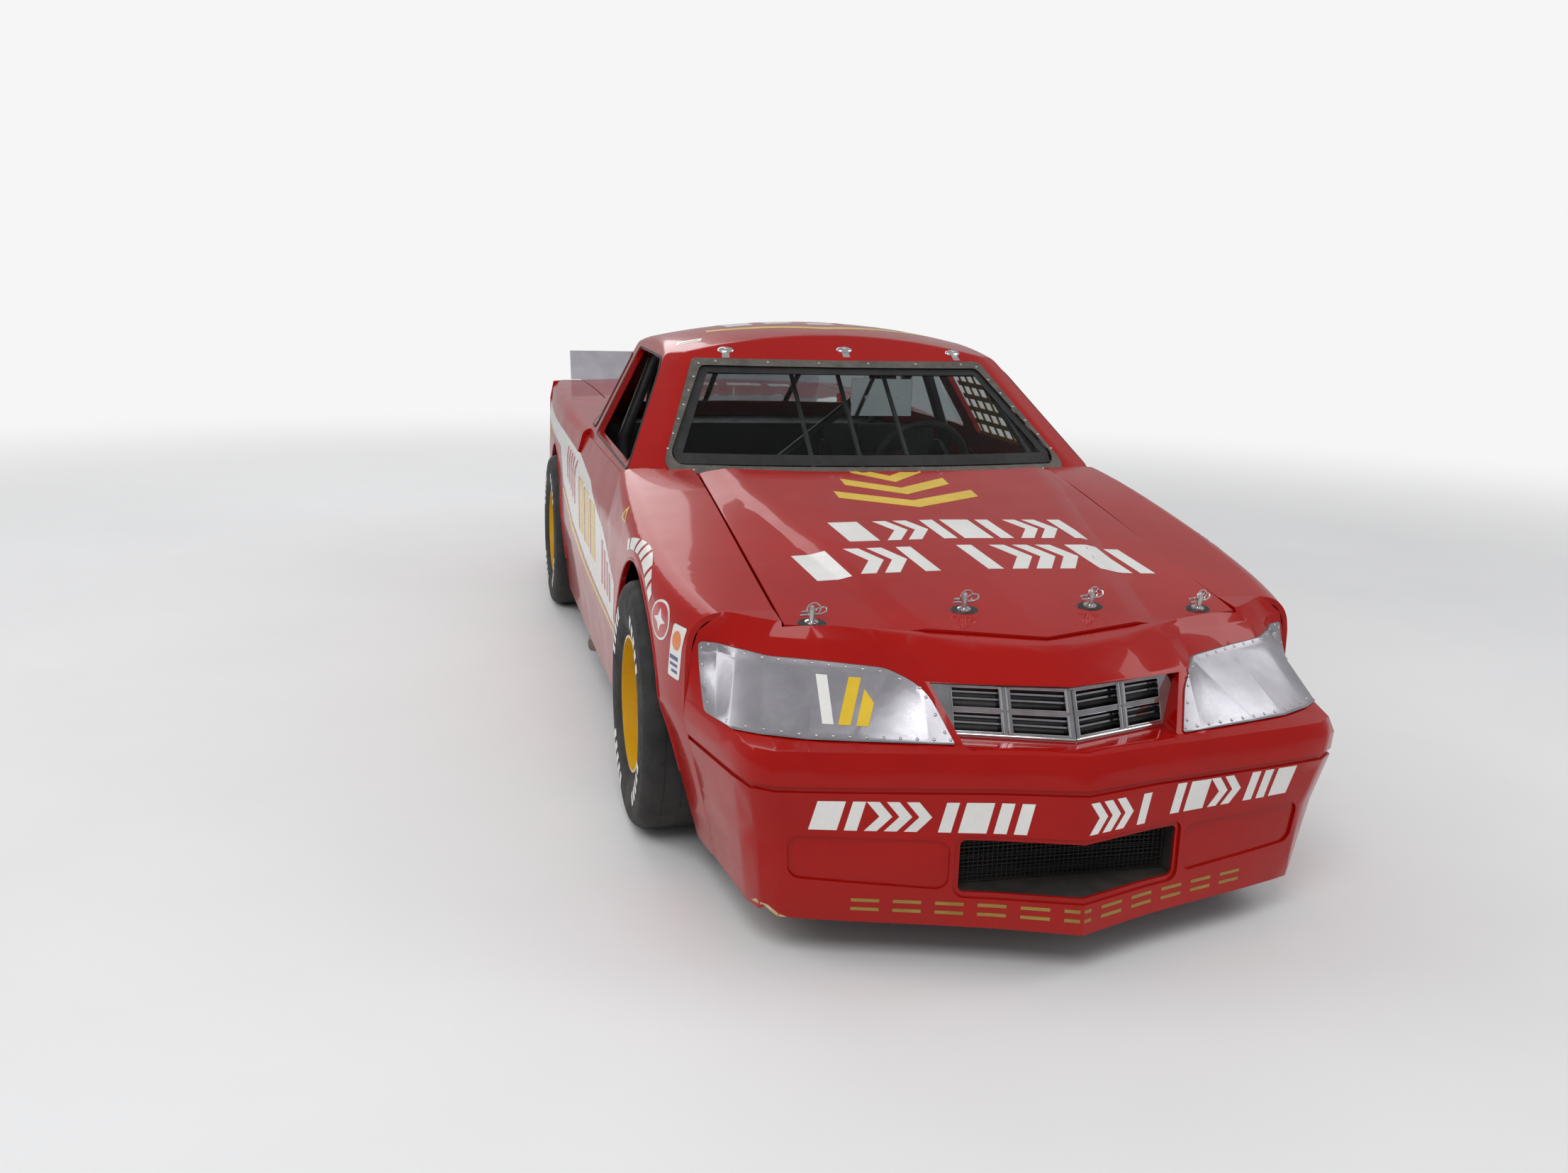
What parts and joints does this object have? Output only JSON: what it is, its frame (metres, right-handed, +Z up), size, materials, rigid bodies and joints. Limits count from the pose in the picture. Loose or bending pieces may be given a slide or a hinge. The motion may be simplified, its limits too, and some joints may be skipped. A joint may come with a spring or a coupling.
{
  "type": "stock car",
  "caption": "Two-door racing stock car with full roll cage, covered headlamps, chrome grille, opening hood and decklid, and slick tyres on steel wheels.",
  "frame": {"origin": "on the floor, midway between the nose tip and the tail, on the centre line", "axes": "+Z up, nose towards -Y, +X towards the driver's left side"},
  "size_m": [1.788, 5.12, 1.372],
  "materials": {
    "red_paint": "deep gloss red paint",
    "chrome": "bright chrome",
    "polished_aluminium": "polished sheet",
    "frame_trim": "dull metal strip",
    "black_paint": "satin black",
    "cage_paint": "satin dark grey",
    "dash_paint": "satin red",
    "cast_metal": "rough cast",
    "radiator_metal": "finned core",
    "clear_sheet": "clear polycarbonate",
    "lamp_plastic": "red lens",
    "seat_cover": "black cloth",
    "mirror_face": "mirror",
    "net_webbing": "yellow webbing",
    "exhaust_metal": "heat stained",
    "grip_vinyl": "black vinyl",
    "tyre_rubber": "slick rubber",
    "wheel_paint": "gloss yellow"
  },
  "bodies": {
    "chassis": {"frame_rails": "black_paint", "floor_pan": "black_paint", "roll_cage": "cage_paint", "engine_block": "cast_metal", "radiator": "radiator_metal", "nose_fascia": "red_paint", "grille": "chrome", "headlight_covers": "polished_aluminium", "fender_left": "red_paint", "fender_right": "red_paint", "door_left": "red_paint", "door_right": "red_paint", "quarter_left": "red_paint", "quarter_right": "red_paint", "roof_shell": "red_paint", "cowl_panel": "black_paint", "windshield": "clear_sheet", "windshield_frame": "frame_trim", "rear_glass": "clear_sheet", "rear_filler": "red_paint", "tail_panel": "red_paint", "tail_lamps": "lamp_plastic", "driver_seat": "seat_cover", "dashboard": "dash_paint", "steering_column": "black_paint", "mirror": "mirror_face", "window_net": "net_webbing", "fuel_cell": "black_paint", "rear_axle": "black_paint", "front_suspension": "black_paint", "rear_suspension": "black_paint", "exhaust_pipes": "exhaust_metal"},
    "hood_lid": {"hood": "red_paint"},
    "deck_lid": {"decklid": "red_paint", "spoiler": "polished_aluminium"},
    "steering_wheel_body": {"steering_wheel": "grip_vinyl"},
    "knuckle_body_left": {"knuckle_left": "cast_metal"},
    "knuckle_body_right": {"knuckle_right": "cast_metal"},
    "road_wheel_front_left": {"tyre_front_left": "tyre_rubber", "wheel_front_left": "wheel_paint"},
    "road_wheel_front_right": {"tyre_front_right": "tyre_rubber", "wheel_front_right": "wheel_paint"},
    "road_wheel_rear_left": {"tyre_rear_left": "tyre_rubber", "wheel_rear_left": "wheel_paint"},
    "road_wheel_rear_right": {"tyre_rear_right": "tyre_rubber", "wheel_rear_right": "wheel_paint"}
  },
  "joints": [
    {"name": "steer_left", "type": "hinge", "parent": "chassis", "child": "knuckle_body_left", "pos_m": [0.65, -1.445, 0.35], "axis": [0, 0, 1], "range_deg": [-22, 22]},
    {"name": "steer_right", "type": "hinge", "parent": "chassis", "child": "knuckle_body_right", "pos_m": [-0.65, -1.445, 0.35], "axis": [0, 0, 1], "range_deg": [-22, 22]},
    {"name": "steering_wheel_turn", "type": "hinge", "parent": "chassis", "child": "steering_wheel_body", "pos_m": [0.37, -0.26, 0.85], "axis": [0, 0.9781, 0.2079], "range_deg": [-308, 308]},
    {"name": "spin_front_left", "type": "hinge", "parent": "knuckle_body_left", "child": "road_wheel_front_left", "pos_m": [0.752, -1.445, 0.35], "axis": [1, 0, 0], "continuous": true},
    {"name": "spin_front_right", "type": "hinge", "parent": "knuckle_body_right", "child": "road_wheel_front_right", "pos_m": [-0.752, -1.445, 0.35], "axis": [1, 0, 0], "continuous": true},
    {"name": "spin_rear_left", "type": "hinge", "parent": "chassis", "child": "road_wheel_rear_left", "pos_m": [0.752, 1.349, 0.35], "axis": [1, 0, 0], "continuous": true},
    {"name": "spin_rear_right", "type": "hinge", "parent": "chassis", "child": "road_wheel_rear_right", "pos_m": [-0.752, 1.349, 0.35], "axis": [1, 0, 0], "continuous": true},
    {"name": "hood_hinge", "type": "hinge", "parent": "chassis", "child": "hood_lid", "pos_m": [0, -0.918, 0.918], "axis": [-1, 0, 0], "range_deg": [0, 60]},
    {"name": "decklid_hinge", "type": "hinge", "parent": "chassis", "child": "deck_lid", "pos_m": [0, 1.333, 0.988], "axis": [1, 0, 0], "range_deg": [0, 60]}
  ],
  "couplings": [
    {"joint": "steer_right", "follows": "steer_left", "ratio": 1},
    {"joint": "steering_wheel_turn", "follows": "steer_left", "ratio": 14}
  ]
}
